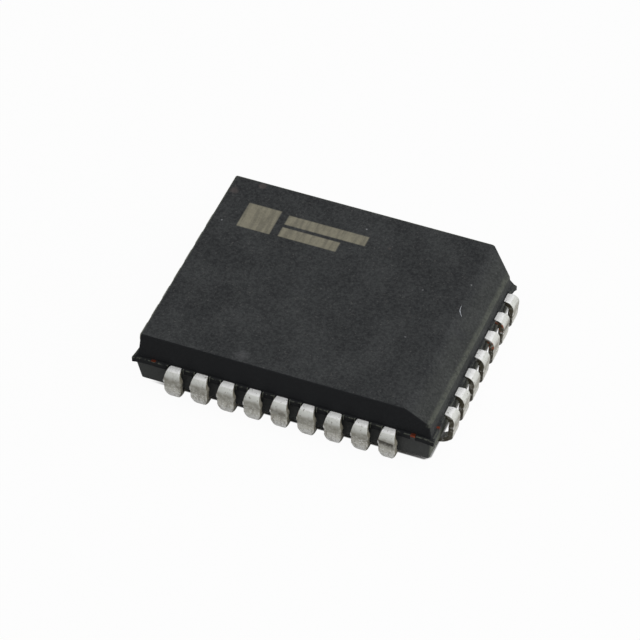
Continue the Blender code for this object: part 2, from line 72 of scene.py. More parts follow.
class Flow:
    """A socket of a node tree, so that the maths of nodes can be written as Python expressions."""

    def __init__(self, tree, socket=None):
        self.tree = tree
        self.socket = socket

    def node(self, kind, settings=None, inputs=None, output=0):
        """Adds a node: its settings are made first, then each socket gets its value or its link."""
        made = self.tree.nodes.new(kind)
        for name, value in (settings or {}).items():
            setattr(made, name, value)
        for name, value in (inputs or {}).items():
            socket = in_use(made.inputs, name)
            for item in value if isinstance(value, list) else [value]:
                if isinstance(item, Flow):
                    self.tree.links.new(item.socket, socket)
                else:
                    socket.default_value = item
        return Flow(self.tree, in_use(made.outputs, output))

    def maths(self, operation, *others):
        return self.node("ShaderNodeMath", {"operation": operation}, dict(enumerate((self, *others))))

    def vector(self, operation, *others):
        return self.node("ShaderNodeVectorMath", {"operation": operation}, dict(enumerate((self, *others))))

    def __add__(self, other):
        return self.maths("ADD", other)

    def __sub__(self, other):
        return self.maths("SUBTRACT", other)

    def __rsub__(self, other):
        return self.node("ShaderNodeMath", {"operation": "SUBTRACT"}, {0: other, 1: self})

    def __mul__(self, other):
        return self.maths("MULTIPLY", other)

    def __truediv__(self, other):
        return self.maths("DIVIDE", other)

    __radd__ = __add__
    __rmul__ = __mul__

    def between(self, low, high):
        """A smooth step, 0 at the low value and 1 at the high one."""
        settings = {"interpolation_type": "SMOOTHSTEP"}
        return self.node("ShaderNodeMapRange", settings, {"Value": self, "From Min": low, "From Max": high})

    def within(self, start, full, last, end):
        """1 from the second value to the third, and 0 before the first and after the fourth."""
        return self.between(start, full) * (1 - self.between(last, end))

    def colour(self, first, second):
        """The first colour where this mask is 0, and the second where it is 1."""
        ends = [value if isinstance(value, Flow) else (*value, 1) for value in (first, second)]
        inputs = {"Factor": self, "A": ends[0], "B": ends[1]}
        return self.node("ShaderNodeMix", {"data_type": "RGBA"}, inputs)

    def axis(self, name):
        return self.node("ShaderNodeSeparateXYZ", None, {0: self}, name)

    def blotches(self, per_mm, detail=2.0, roughness=0.5):
        """Noise from 0 to 1 on a place in millimetres."""
        inputs = {"Vector": self, "Scale": per_mm, "Detail": detail, "Roughness": roughness}
        return self.node("ShaderNodeTexNoise", None, inputs)

    def attribute(self, name):
        return self.node("ShaderNodeAttribute", {"attribute_name": name}, None, "Fac")

    def bump(self, height, depth):
        """The normal of a surface that this height, from 0 to 1, raises by the depth."""
        return self.node("ShaderNodeBump", None, {"Height": height, "Distance": depth, "Strength": 1.0})

    def named(self, name, kind="FLOAT"):
        settings = {"data_type": kind}
        return self.node("GeometryNodeInputNamedAttribute", settings, {"Name": name}, "Attribute")

    def stored(self, name, value, kind="FLOAT"):
        """This geometry with a value kept on its points."""
        settings = {"data_type": kind, "domain": "POINT"}
        inputs = {"Geometry": self, "Name": name, "Value": value}
        return self.node("GeometryNodeStoreNamedAttribute", settings, inputs)

    def moved(self, offset):
        return self.node("GeometryNodeSetPosition", None, {"Geometry": self, "Offset": offset})

    def to(self, node, name):
        self.tree.links.new(self.socket, node.inputs[name])


def new_finish(name, roughness, metallic, specular=0.5):
    """A material, its shader, and the place on the surface in millimetres."""
    made = bpy.data.materials.new(name)
    made.use_nodes = True
    shader = made.node_tree.nodes["Principled BSDF"]
    shader.inputs["Roughness"].default_value = roughness
    shader.inputs["Metallic"].default_value = metallic
    shader.inputs["Specular IOR Level"].default_value = specular
    flow = Flow(made.node_tree)
    place = flow.node("ShaderNodeTexCoord", None, None, "Object").vector("MULTIPLY", (1 / MM,) * 3)
    return made, shader, flow, place


def dress(node_name, finish):
    """Gives a solid of the fixed model its finish."""
    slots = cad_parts[node_name].data.materials
    slots.clear()
    slots.append(finish)


copper, shader, flow, place = new_finish("copper_alloy", 0.5, 1.0)
tarnish = place.blotches(7.0, 3.0, 0.6).between(0.35, 0.65)
ragged = place.axis("Z") - FILM_TILT * place.axis("X") + FILM_RAGGED * place.blotches(12.0)
low = 1 - ragged.between(*FILM_TOP)
far = (place.axis("X") + place.axis("Y")).between(*FILM_CORNER)
beside = place.axis("X").between(*FILM_END) * place.axis("Y").between(*FILM_SIDE)
film = low.maths("MAXIMUM", far).maths("MAXIMUM", beside)
film.colour(tarnish.colour(COPPER, COPPER_TARNISH), FILM_AND_SHADE).to(shader, "Base Color")
(1 - film).to(shader, "Metallic")
(0.42 + 0.25 * tarnish).to(shader, "Roughness")
flow.bump(place.blotches(25.0), 0.003 * MM).to(shader, "Normal")
dress("die_paddle", copper)

# Die attach
# A film of silver-filled epoxy that glues the die to the paddle. It is dispensed as paste, squeezed out
# a little past the die's edges, and cured.
EPOXY = (0.22, 0.22, 0.21)
SILVER_FLAKE = (0.62, 0.61, 0.58)

paste, shader, flow, place = new_finish("silver_epoxy", 0.5, 0.3)
flakes = place.blotches(60.0, 1.0).between(0.55, 0.62)
flakes.colour(EPOXY, SILVER_FLAKE).to(shader, "Base Color")
flakes.to(shader, "Metallic")
(0.65 - 0.3 * flakes).to(shader, "Roughness")
flow.bump(place.blotches(8.0), 0.006 * MM).to(shader, "Normal")
dress("die_attach", paste)

# Silicon die
# Sawn from a wafer. Its top holds blocks of memory cells with wiring between them, and its sides keep
# the saw's marks.
SILICON = (0.055, 0.060, 0.085)
CELL_ARRAY = (0.12, 0.10, 0.15)
BLOCKS_PER_MM = 1.4
STREET_SHARE = 0.12

silicon, shader, flow, place = new_finish("silicon", 0.2, 0.6)
streets = None
for name in ("X", "Y"):
    across = (place.axis(name) * BLOCKS_PER_MM).maths("PINGPONG", 0.5)
    street = 1 - across.between(STREET_SHARE / 2, STREET_SHARE)
    streets = street if streets is None else streets.maths("MAXIMUM", street)
streets.colour(CELL_ARRAY, SILICON).to(shader, "Base Color")
(0.14 + 0.2 * streets).to(shader, "Roughness")
flow.bump(place.blotches(30.0), 0.001 * MM).to(shader, "Normal")
dress("silicon_die", silicon)

# Formed leads
# Fingers of one copper alloy frame, plated with dull tin, trimmed from the frame after moulding and bent
# down and under into J shapes. Their cut sides are unplated and tarnished, one of them darkened further by
# painted shade, with bare copper at some bends.
LEAD_PITCH = 1.27 * MM
LONG_SIDE_LEADS = 9
SHORT_SIDE_LEADS = 7
LEAD_THICKNESS = 0.25 * MM
SHOULDER_REACH = 0.52 * MM
SHOULDER_RADIUS = 0.36 * MM
LEG_LEAN = radians(3.5)
FOOT_RADIUS = 0.85 * MM
TAIL_WRAP = radians(60)
ROOT_WIDTH = 0.50 * MM
EXIT_WIDTH = 0.55 * MM
EXIT_FLARE = 0.02 * MM
NECK_WIDTH = 0.78 * MM
LEG_WIDTH = 0.79 * MM
FOOT_WIDTH = 0.40 * MM
FOOT_TAPER = radians(40)
TAIL_WIDTH = 0.36 * MM
SHOULDER_STEPS = 12
FOOT_STEPS = 30
DAM_START = 0.08 * MM
DAM_LENGTH = 0.18 * MM
DAM_WIDTH = 0.86 * MM
DAM_RAMP = 0.03 * MM
STRAIGHT_RUN = 0.90 * MM
FINGER_GAP = 0.35 * MM
FINGER_TIP_WIDTH = 0.35 * MM
FINGER_SPREAD_MARGIN = 0.20 * MM
PADDLE_LENGTH = 7.00 * MM
PADDLE_WIDTH = 5.00 * MM
ROLLED_EDGE = 0.035 * MM
ROLL_STEPS = 3
CUT_EDGE = 0.012 * MM
LEAD_SKEW = 0.06
TIN_METALLIC = 0.20
TIN = (0.77, 0.78, 0.74)
# Near-white tin for painted light, painted reflections and painted highlights.
TIN_LIT = (0.98, 0.985, 0.975)
TIN_WORN = (0.75, 0.735, 0.67)
TIN_SCRAPED = (0.20, 0.175, 0.14)
CUT_SIDE = (0.34, 0.32, 0.25)
CUT_SIDE_SHADED = (0.080, 0.070, 0.045)
BARE_COPPER = (0.40, 0.11, 0.045)
LEAD_SEED = 4878
SHARP_EDGE = radians(35)
STAIN_FADE = (0.90, 1.60)
FOOT_FADE = (0.55, 0.95)
SWIRL_FADE = (0.80, 1.20)
GLINT_FADE = (0.90, 1.50)
MID_LEG_BAND = (0.95, 1.20, 1.50, 1.74)
RUBBED_BAND = (1.15, 1.38, 1.47, 1.52)
RUBBED_TILT = 0.05
RUBBED_TONES = (0.50, 0.95)
RUBBED_UP_TO = (0.66, 0.78)
NIB_HIGHLIGHT_BAND = (1.22, 1.28, 1.42, 1.47)
NIB_HIGHLIGHT_FROM = (-0.90, -0.78)
BARE_BAND = (1.35, 1.50, 1.78, 1.86)
BARE_TONES = (0.50, 0.66)
BARE_FROM = (-0.98, -0.94)
CUT_SIDES = (0.975, 0.995)
SHADED_SIDE_CHANGE = (-0.2, 0.2)
ROOT_SHADE_HEIGHT = (1.60, 1.70)
ROOT_SHADE_REACH = (0.012, 0.040)
ROOT_SHADE_RAGGED = 0.03
TIN_DARKER = (0.36, 0.345, 0.29)
TIN_BLACKENED = (0.050, 0.045, 0.032)
LEAD_COUNT = 2 * (LONG_SIDE_LEADS + SHORT_SIDE_LEADS)
LEADS = [f"lead_{number:02d}" for number in range(1, LEAD_COUNT + 1)]
FRAME_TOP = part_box("die_paddle")[1][2]
WALL_X = max(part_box(name)[1][0] for name in LEADS) - SHOULDER_REACH
WALL_Y = max(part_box(name)[1][1] for name in LEADS) - SHOULDER_REACH
LONGEST_FINGER = WALL_X - PADDLE_LENGTH / 2 - FINGER_GAP
LEAD_TOP = (FRAME_TOP / MM - 0.07, FRAME_TOP / MM - 0.03)
STITCH_INSET = 0.20 * MM
PAD_INSET = 0.12 * MM
PAD_SPREAD_MARGIN = 0.35 * MM


def add_object(name, mesh):
    made = bpy.data.objects.new(name, mesh)
    bpy.context.scene.collection.objects.link(made)
    return made


def with_numbers(mesh, name, kind, values):
    """Stores one number or vector on each vertex, for a tree or a material to read."""
    layer = mesh.attributes.new(name, kind, "POINT")
    for item, value in zip(layer.data, values):
        if kind == "FLOAT_VECTOR":
            item.vector = value
        else:
            item.value = value


def new_tree(name, sizes):
    """An empty tree of geometry nodes with an input for each named size, and its inputs."""
    tree = bpy.data.node_groups.new(name, "GeometryNodeTree")
    for label, kind in {"Geometry": "Geometry", **sizes}.items():
        tree.interface.new_socket(label, in_out="INPUT", socket_type="NodeSocket" + kind)
    tree.interface.new_socket("Geometry", in_out="OUTPUT", socket_type="NodeSocketGeometry")
    source = tree.nodes.new("NodeGroupInput")
    return tree, {label: Flow(tree, source.outputs[label]) for label in ("Geometry", *sizes)}


def close_tree(shape, finish):
    """Ends a tree with real geometry in one material."""
    real = shape.node("GeometryNodeRealizeInstances", None, {"Geometry": shape})
    worn = real.node("GeometryNodeSetMaterial", None, {"Geometry": real, "Material": finish})
    worn.to(shape.tree.nodes.new("NodeGroupOutput"), "Geometry")


def grow(name, start, tree=None, values=None):
    """Runs a tree, or the modifiers that an object already has, and keeps the result as a plain mesh."""
    if tree:
        start = add_object(name + "_start", start)
        step = start.modifiers.new(tree.name, "NODES")
        step.node_group = tree
        for item in tree.interface.items_tree:
            if item.in_out == "INPUT" and item.name in values:
                step[item.identifier] = values[item.name]
    graph = bpy.context.evaluated_depsgraph_get()
    mesh = bpy.data.meshes.new_from_object(start.evaluated_get(graph), depsgraph=graph)
    bpy.data.objects.remove(start)
    return add_object(name, mesh)


def keep_only(obj, *names):
    """Removes the numbers that only the trees read."""
    for name in ("turn", "tip", "stitch", "ball", "local", "half_width", "across", "lead_tone"):
        if name in obj.data.attributes and name not in names:
            obj.data.attributes.remove(obj.data.attributes[name])


def smooth(obj):
    obj.data.shade_smooth()
    obj.data.set_sharp_from_angle(angle=SHARP_EDGE)
    obj.modifiers.new("even_shading", "WEIGHTED_NORMAL").keep_sharp = True


def bend_centres():
    """Centres of the shoulder and foot bends, out from the wall and up, and the leg's facing."""
    shoulder = Vector((SHOULDER_REACH - SHOULDER_RADIUS, FRAME_TOP - SHOULDER_RADIUS))
    face = Vector((cos(LEG_LEAN), -sin(LEG_LEAN)))
    offset = face.dot(shoulder) + SHOULDER_RADIUS - FOOT_RADIUS
    foot = Vector(((offset - face.y * FOOT_RADIUS) / face.x, FOOT_RADIUS))
    return shoulder, foot, face


def lead_stations():
    """Points down the middle of a lead, as distance out from the wall and height, with half widths."""
    middle = LEAD_THICKNESS / 2
    shoulder, foot, face = bend_centres()
    stations = [
        (Vector((-LONGEST_FINGER, FRAME_TOP - middle)), FINGER_TIP_WIDTH / 2),
        (Vector((-STRAIGHT_RUN, FRAME_TOP - middle)), ROOT_WIDTH / 2),
        (Vector((0, FRAME_TOP - middle)), ROOT_WIDTH / 2),
        (Vector((EXIT_FLARE, FRAME_TOP - middle)), EXIT_WIDTH / 2),
    ]
    flat = SHOULDER_REACH - SHOULDER_RADIUS
    bend = pi / 2 + LEG_LEAN
    for step in range(SHOULDER_STEPS + 1):
        turned = bend * step / SHOULDER_STEPS
        share = (flat + SHOULDER_RADIUS * turned) / (flat + SHOULDER_RADIUS * bend)
        spot = shoulder + Vector((sin(turned), cos(turned))) * (SHOULDER_RADIUS - middle)
        stations.append((spot, (EXIT_WIDTH + (NECK_WIDTH - EXIT_WIDTH) * share) / 2))
    start = shoulder + face * (SHOULDER_RADIUS - middle)
    down = Vector((face.y, -face.x))
    for distance, width in (
        (DAM_START, DAM_WIDTH),
        (DAM_START + DAM_LENGTH / 2, DAM_WIDTH),
        (DAM_START + DAM_LENGTH, DAM_WIDTH),
        (DAM_START + DAM_LENGTH + DAM_RAMP, LEG_WIDTH),
    ):
        stations.append((start + down * distance, width / 2))
    quarter = pi / 2 - LEG_LEAN
    for step in range(FOOT_STEPS + 1):
        turned = (quarter + TAIL_WRAP) * step / FOOT_STEPS
        width = LEG_WIDTH + (FOOT_WIDTH - LEG_WIDTH) * min(1, turned / FOOT_TAPER)
        width += (TAIL_WIDTH - FOOT_WIDTH) * max(0, turned - quarter) / TAIL_WRAP
        spot = foot + Vector((cos(LEG_LEAN + turned), -sin(LEG_LEAN + turned))) * (FOOT_RADIUS - middle)
        stations.append((spot, width / 2))
    return stations


def lead_seats():
    """One vertex where each lead leaves the wall, with what its finger and its wire have to reach."""
    die_low, die_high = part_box("silicon_die")
    die = (die_high[0] - die_low[0], die_high[1] - die_low[1])
    long_side = (LONG_SIDE_LEADS, WALL_Y, PADDLE_WIDTH, PADDLE_LENGTH, die[1], die[0])
    short_side = (SHORT_SIDE_LEADS, WALL_X, PADDLE_LENGTH, PADDLE_WIDTH, die[0], die[1])
    spots, turns, tips, stitches, balls = [], [], [], [], []
    for quarter, side in enumerate((long_side, short_side, long_side, short_side)):
        count, wall, paddle, paddle_edge, across, edge = side
        turn = Matrix.Rotation(quarter * pi / 2, 3, "Z")
        for index in range(count):
            share = 2 * index / (count - 1) - 1
            along = share * (count - 1) / 2 * LEAD_PITCH
            spread = share * (paddle_edge / 2 - FINGER_SPREAD_MARGIN)
            tip = Vector((spread - along, wall - paddle / 2 - FINGER_GAP, 0))
            elbow = Vector((0, STRAIGHT_RUN, 0))
            seat = Vector((along, -wall, 0))
            stitch = seat + tip + (elbow - tip).normalized() * STITCH_INSET + Vector((0, 0, FRAME_TOP))
            ball = Vector((share * (edge / 2 - PAD_SPREAD_MARGIN), -across / 2 + PAD_INSET, die_high[2]))
            spots.append(turn @ seat)
            turns.append(quarter * pi / 2)
            tips.append(tip)
            stitches.append(turn @ stitch)
            balls.append(turn @ ball)
    mesh = bpy.data.meshes.new("lead_seats")
    mesh.from_pydata(spots, [], [])
    with_numbers(mesh, "turn", "FLOAT", turns)
    with_numbers(mesh, "tip", "FLOAT_VECTOR", tips)
    with_numbers(mesh, "stitch", "FLOAT_VECTOR", stitches)
    with_numbers(mesh, "ball", "FLOAT_VECTOR", balls)
    return mesh


def plating():
    """Dull tin, painted light on top and foot, darker between; tarnished cut sides, one in painted shade.
    """
    finish, shader, flow, place = new_finish("tin_plate", 0.55, TIN_METALLIC)
    height = place.axis("Z")
    tone = flow.attribute("lead_tone")
    across = flow.attribute("across")
    side = across.maths("ABSOLUTE").between(*CUT_SIDES)
    # Painted shade: on one side of each lead the cut face is near-black, on the other tarnished grey.
    cut = across.between(*SHADED_SIDE_CHANGE).colour(CUT_SIDE_SHADED, CUT_SIDE)
    low = 1 - height.between(*STAIN_FADE)
    stained = low * (0.35 + 1.1 * place.blotches(2.2, 4.0, 0.6)) + 0.3 * (tone - 0.5)
    base = stained.between(0.0, 1.0).colour(TIN, TIN_WORN)
    # Painted light: the flat top of each lead is near-white, as if lit from overhead.
    flat = height.between(*LEAD_TOP)
    base = flat.colour(base, TIN_LIT)
    # Painted light: the foot is paler, as if lit by the white floor under it.
    foot = 1 - height.between(*FOOT_FADE)
    base = (foot * 0.8).colour(base, TIN_LIT)
    # The leg is darker in an uneven band between its top and its foot.
    uneven = 0.50 + 0.45 * place.blotches(4.0, 3.0, 0.6).between(0.35, 0.65)
    base = (height.within(*MID_LEG_BAND) * uneven).colour(base, TIN_DARKER)
    drawn = place.vector("MULTIPLY", (8.0, 8.0, 1.6)).blotches(1.0, 3.0, 0.6)
    base = (drawn.between(0.50, 0.68) * (0.15 + 0.35 * low)).colour(base, TIN_SCRAPED)
    strong = tone.between(*RUBBED_TONES)
    band = (height + RUBBED_TILT * across).within(*RUBBED_BAND) * strong * strong
    rubbed = band * place.blotches(3.0, 3.0).between(0.22, 0.45) * (1 - across.between(*RUBBED_UP_TO))
    base = (rubbed * 0.95).colour(base, TIN_BLACKENED)
    swirls = place.blotches(6.0, 3.0, 0.6).between(0.46, 0.60) * (1 - height.between(*SWIRL_FADE))
    base = (swirls * 0.40).colour(base, TIN_DARKER)
    # Painted reflections: near-white spots low on the leg, where the foot would mirror the white floor.
    floor_glints = place.blotches(11.0, 2.0).between(0.56, 0.64) * (1 - height.between(*GLINT_FADE))
    base = (floor_glints * 0.8).colour(base, TIN_LIT)
    # Painted highlights: near-white spots along one edge of each lead, at the dam bar's stubs.
    nib_highlights = (1 - across.between(*NIB_HIGHLIGHT_FROM)) * height.within(*NIB_HIGHLIGHT_BAND)
    base = (nib_highlights * place.blotches(14.0, 2.0).between(0.40, 0.52)).colour(base, TIN_LIT)
    pits = place.blotches(9.0, 2.0).between(0.64, 0.70)
    base = (pits * 0.6).colour(base, TIN_SCRAPED)
    base = (side * place.blotches(5.0, 3.0).between(0.20, 0.50)).colour(base, cut)
    bare = (1 - across.between(*BARE_FROM)) * height.within(*BARE_BAND)
    bare = bare * place.blotches(7.0, 2.0).between(0.50, 0.60) * tone.between(*BARE_TONES)
    base = (bare * 0.85).colour(base, BARE_COPPER)
    # Painted shade: a ragged near-black line on each lead's top where it leaves the wall.
    beyond = place.axis("X").maths("ABSOLUTE") - WALL_X / MM
    beyond = beyond.maths("MAXIMUM", place.axis("Y").maths("ABSOLUTE") - WALL_Y / MM)
    beyond = beyond + ROOT_SHADE_RAGGED * place.blotches(12.0)
    root_shade = (1 - beyond.between(*ROOT_SHADE_REACH)) * height.between(*ROOT_SHADE_HEIGHT)
    base = root_shade.colour(base, FILM_AND_SHADE)
    base.to(shader, "Base Color")
    (0.52 + 0.20 * place.blotches(9.0, 3.0)).to(shader, "Roughness")
    grain = place.blotches(18.0, 4.0, 0.7) + 0.8 * place.blotches(5.0)
    flow.bump(grain, 0.008 * MM).to(shader, "Normal")
    return finish


tin_plate = plating()
centreline = bpy.data.meshes.new("lead_centreline")
stations = lead_stations()
centreline.from_pydata(
    [(0, -spot.x, spot.y) for spot, _ in stations],
    [(index, index + 1) for index in range(len(stations) - 1)],
    [],
)
with_numbers(centreline, "half_width", "FLOAT", [half for _, half in stations])
centreline = add_object("lead_centreline", centreline)

sizes = {
    "Centreline": "Object",
    "Thickness": "Float",
    "Blank Width": "Float",
    "Rolled Edge": "Float",
    "Cut Edge": "Float",
    "Elbow": "Float",
    "Longest Finger": "Float",
    "Skew": "Float",
    "Seed": "Int",
}
tree, given = new_tree("formed_leads", sizes)
flow = Flow(tree)
spot = flow.node("GeometryNodeInputPosition")
half = flow.named("half_width")
path = flow.node("GeometryNodeObjectInfo", None, {"Object": given["Centreline"]}, "Geometry")
path = flow.node("GeometryNodeMeshToCurve", None, {"Mesh": path})
path = flow.node("GeometryNodeSetCurveNormal", {"mode": "FREE"}, {"Curve": path, "Normal": (1, 0, 0)})
blank = {"Width": given["Blank Width"], "Height": given["Thickness"]}
section = flow.node("GeometryNodeCurvePrimitiveQuadrilateral", None, blank)
under = flow.node("GeometryNodeInputIndex").maths("GREATER_THAN", 1.5)
radius = given["Rolled Edge"] + under * (given["Cut Edge"] - given["Rolled Edge"])
rolled = {"Curve": section, "Count": ROLL_STEPS, "Radius": radius}
section = flow.node("GeometryNodeFilletCurve", {"mode": "POLY"}, rolled)
swept = {"Curve": path, "Profile Curve": section, "Fill Caps": True}
strip = flow.node("GeometryNodeCurveToMesh", None, swept)
widen = spot.axis("X").maths("SIGN") * (half - given["Blank Width"] / 2)
strip = strip.moved(flow.node("ShaderNodeCombineXYZ", None, {"X": widen}))
strip = strip.stored("across", spot.axis("X") / half).stored("local", spot, "FLOAT_VECTOR")
draw = {"Min": 0.0, "Max": 1.0, "Seed": given["Seed"]}
tone = flow.node("FunctionNodeRandomValue", {"data_type": "FLOAT"}, draw)
seats = given["Geometry"].stored("lead_tone", tone)
turned = flow.node("ShaderNodeCombineXYZ", None, {"Z": flow.named("turn")})
seated = {"Points": seats, "Instance": strip, "Rotation": turned}
leads = flow.node("GeometryNodeInstanceOnPoints", None, seated)
leads = flow.node("GeometryNodeRealizeInstances", None, {"Geometry": leads})
depth = flow.named("local", "FLOAT_VECTOR").axis("Y")
share = ((depth - given["Elbow"]) / (given["Longest Finger"] - given["Elbow"])).maths("MAXIMUM", 0.0)
tip = flow.named("tip", "FLOAT_VECTOR")
skewed = (0 - depth).maths("MAXIMUM", 0.0) * (flow.named("lead_tone") - 0.5) * given["Skew"]
reach = {"X": tip.axis("X") * share + skewed, "Y": (tip.axis("Y") - given["Longest Finger"]) * share}
reach = {"Vector": flow.node("ShaderNodeCombineXYZ", None, reach), "Angle": flow.named("turn")}
leads = leads.moved(flow.node("ShaderNodeVectorRotate", {"rotation_type": "Z_AXIS"}, reach))
close_tree(leads, tin_plate)
formed_leads = grow("formed_leads", lead_seats(), tree, {
    "Centreline": centreline,
    "Thickness": LEAD_THICKNESS,
    "Blank Width": ROOT_WIDTH,
    "Rolled Edge": ROLLED_EDGE,
    "Cut Edge": CUT_EDGE,
    "Elbow": STRAIGHT_RUN,
    "Longest Finger": LONGEST_FINGER,
    "Skew": LEAD_SKEW,
    "Seed": LEAD_SEED,
})
bpy.data.objects.remove(centreline)
keep_only(formed_leads, "across", "lead_tone")
smooth(formed_leads)
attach(formed_leads, "root")
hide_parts(*LEADS)

# Bond wires
# Drawn copper wire, welded as a ball to each pad of the die and as a flat stitch to the tip of its
# finger, in a low loop between them.
WIRE_DIAMETER = 0.03 * MM
LOOP_RISE = 0.22 * MM
BALL_DIAMETER = 0.09 * MM
BALL_HEIGHT = 0.03 * MM
NECK_RISE = 0.05 * MM
FIRST_PULL = 0.4
FIRST_LIFT = 1.5
WIRE_STEPS = 17
WIRE_SIDES = 8
STITCH_SHAPE = (0.8, 0.8, 0.5)
WELD_SEGMENTS = 12
WELD_RINGS = 8
WIRE_COPPER = (0.58, 0.21, 0.11)

wire_copper, shader, flow, place = new_finish("wire_copper", 0.3, 1.0)
place.blotches(30.0).colour(WIRE_COPPER, COPPER).to(shader, "Base Color")
(0.25 + 0.15 * place.blotches(60.0)).to(shader, "Roughness")
flow.bump(place.blotches(90.0), 0.0005 * MM).to(shader, "Normal")

sizes = {"Diameter": "Float", "Loop Rise": "Float", "Ball": "Vector", "Neck Rise": "Float", "Steps": "Int"}
tree, given = new_tree("bond_wires", sizes)
flow = Flow(tree)
wire = flow.node("GeometryNodeCurvePrimitiveLine")
wire = flow.node("GeometryNodeResampleCurve", None, {"Curve": wire, "Count": given["Steps"]})
wire = flow.node("GeometryNodeInstanceOnPoints", None, {"Points": given["Geometry"], "Instance": wire})
wire = flow.node("GeometryNodeRealizeInstances", None, {"Geometry": wire})
share = flow.node("GeometryNodeSplineParameter")
left = 1 - share
along = left * left * share * (3 * FIRST_PULL) + left * share * share * 3 + share * share * share
rise = (left * left * share * (3 * FIRST_LIFT) + left * share * share * 3) * given["Loop Rise"]
stitch = flow.named("stitch", "FLOAT_VECTOR")
ball = flow.named("ball", "FLOAT_VECTOR")
start = stitch.vector("ADD", flow.node("ShaderNodeCombineXYZ", None, {"Z": given["Diameter"] / 2}))
end = ball.vector("ADD", flow.node("ShaderNodeCombineXYZ", None, {"Z": given["Neck Rise"]}))
chord = flow.node("ShaderNodeMix", {"data_type": "VECTOR"}, {"Factor": along, "A": start, "B": end})
loop = chord.vector("ADD", flow.node("ShaderNodeCombineXYZ", None, {"Z": rise}))
wire = flow.node("GeometryNodeSetPosition", None, {"Geometry": wire, "Position": loop})
round_wire = {"Resolution": WIRE_SIDES, "Radius": given["Diameter"] / 2}
section = flow.node("GeometryNodeCurvePrimitiveCircle", None, round_wire)
swept = {"Curve": wire, "Profile Curve": section, "Fill Caps": True}
wire = flow.node("GeometryNodeCurveToMesh", None, swept)
welds = []
for place, size in ((ball, given["Ball"]), (stitch, given["Ball"].vector("MULTIPLY", STITCH_SHAPE))):
    points = flow.node("GeometryNodeSetPosition", None, {"Geometry": given["Geometry"], "Position": place})
    drop = {"Segments": WELD_SEGMENTS, "Rings": WELD_RINGS, "Radius": 0.5}
    drop = flow.node("GeometryNodeMeshUVSphere", None, drop)
    welded = {"Points": points, "Instance": drop, "Scale": size}
    welds.append(flow.node("GeometryNodeInstanceOnPoints", None, welded))
close_tree(flow.node("GeometryNodeJoinGeometry", None, {"Geometry": [wire, *welds]}), wire_copper)
bond_wires = grow("bond_wires", lead_seats(), tree, {
    "Diameter": WIRE_DIAMETER,
    "Loop Rise": LOOP_RISE,
    "Ball": (BALL_DIAMETER, BALL_DIAMETER, 2 * BALL_HEIGHT),
    "Neck Rise": BALL_HEIGHT + NECK_RISE,
    "Steps": WIRE_STEPS,
})
keep_only(bond_wires)
smooth(bond_wires)
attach(bond_wires, "root")
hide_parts(*LEADS)

# Moulding
# Black epoxy compound with ground silica, pressed as a hot liquid round the lead frame and cured. The mould
# leaves flash between the leads, drafted walls, a spark-eroded grain and the mark of one ejector pin.
STANDOFF = 0.48 * MM
LOWER_DRAFT = radians(6.5)
UPPER_DRAFT = radians(5.0)
LAND_STEP = 0.04 * MM
CORNER_RADIUS = 0.10 * MM
EDGE_RADIUS = 0.055 * MM
INDEX_CHAMFER = 1.143 * MM
FLASH_REACH = 0.10 * MM
FLASH_RAGGED = 0.035 * MM
FLASH_GAP = 0.12 * MM
FLASH_SEAM = 0.03 * MM
LIP_REACH = 0.13 * MM
LIP_RUN = 0.60 * MM
LIP_RISE = 0.45 * MM
SLOPE_RUN = 1.19 * MM
SLOPE_DROP = 0.62 * MM
DIMPLE_RADIUS = 0.58 * MM
DIMPLE_DEPTH = 0.17 * MM
DIMPLE_INSET = 0.50 * MM
DIMPLE_RIM = 0.008 * MM
POCKET_WIDTH = 0.86 * MM
POCKET_LENGTH = 0.70 * MM
POCKET_DEPTH = 0.30 * MM
POCKET_CORNER = 0.08 * MM
POCKET_DRAFT = 0.04 * MM
EJECTOR_RADIUS = 0.80 * MM
EJECTOR_DEPTH = 0.06 * MM
OVERRUN = 0.40 * MM
FRAME_BOTTOM = FRAME_TOP - LEAD_THICKNESS
TOP_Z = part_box("molded_body")[1][2]
SIDE_STEP = 0.30 * MM
CORNER_STEPS = 8
LIP_STEPS = 6
LIP_FLANK_SHARE = 0.6
LIP_FLANK_POWER = 1.5
LIP_UNDER_SHARE = 0.5
LIP_OVER_SHARE = 0.9
LIP_FADE_POWER = 2.2
EDGE_SEGMENTS = 4
ROUND_STEPS = 48
DIMPLE_RINGS = 12
DIMPLE_POWER = 1.4
POCKET_STEPS = 3
COMPOUND = (0.078, 0.082, 0.083)
COMPOUND_DARK = (0.018, 0.019, 0.021)
COMPOUND_LOWER_LIT = (0.095, 0.099, 0.097)
COMPOUND_SPECULAR = 0.09
# Pale compound colour for painted light and painted highlights.
COMPOUND_LIT = (0.155, 0.165, 0.135)
SILICA = (0.22, 0.21, 0.20)
MARK = (0.37, 0.345, 0.26)
MARK_STRENGTH = 0.85
MARK_LINES_PER_MM = 5.0
MARK_FIELDS = ((-4.75, 3.25, 1.6, 1.6), (-1.60, 3.62, 3.9, 0.62), (-2.15, 2.80, 2.8, 0.62))
DUST = (0.42, 0.42, 0.44)
RUST_DUST = (0.15, 0.125, 0.12)
SPECKS = (
    (5.70, 2.74, 0.05, 0.6, DUST),
    (-6.30, 2.54, 0.05, 0.6, DUST),
    (0.04, 4.38, 0.05, 0.7, DUST),
    (1.46, 3.58, 0.10, 0.35, RUST_DUST),
    (3.79, 1.63, 0.07, 0.25, DUST),
    (4.12, -1.42, 0.07, 0.25, DUST),
    (-5.43, 5.30, 0.24, 0.40, RUST_DUST),
    (-6.54, 4.58, 0.26, 0.40, RUST_DUST),
    (-2.15, -5.15, 0.40, 0.08, DUST),
)
QUARTERS = (
    (0, LONG_SIDE_LEADS, WALL_Y),
    (1, SHORT_SIDE_LEADS, WALL_X),
    (2, LONG_SIDE_LEADS, WALL_Y),
    (3, SHORT_SIDE_LEADS, WALL_X),
)
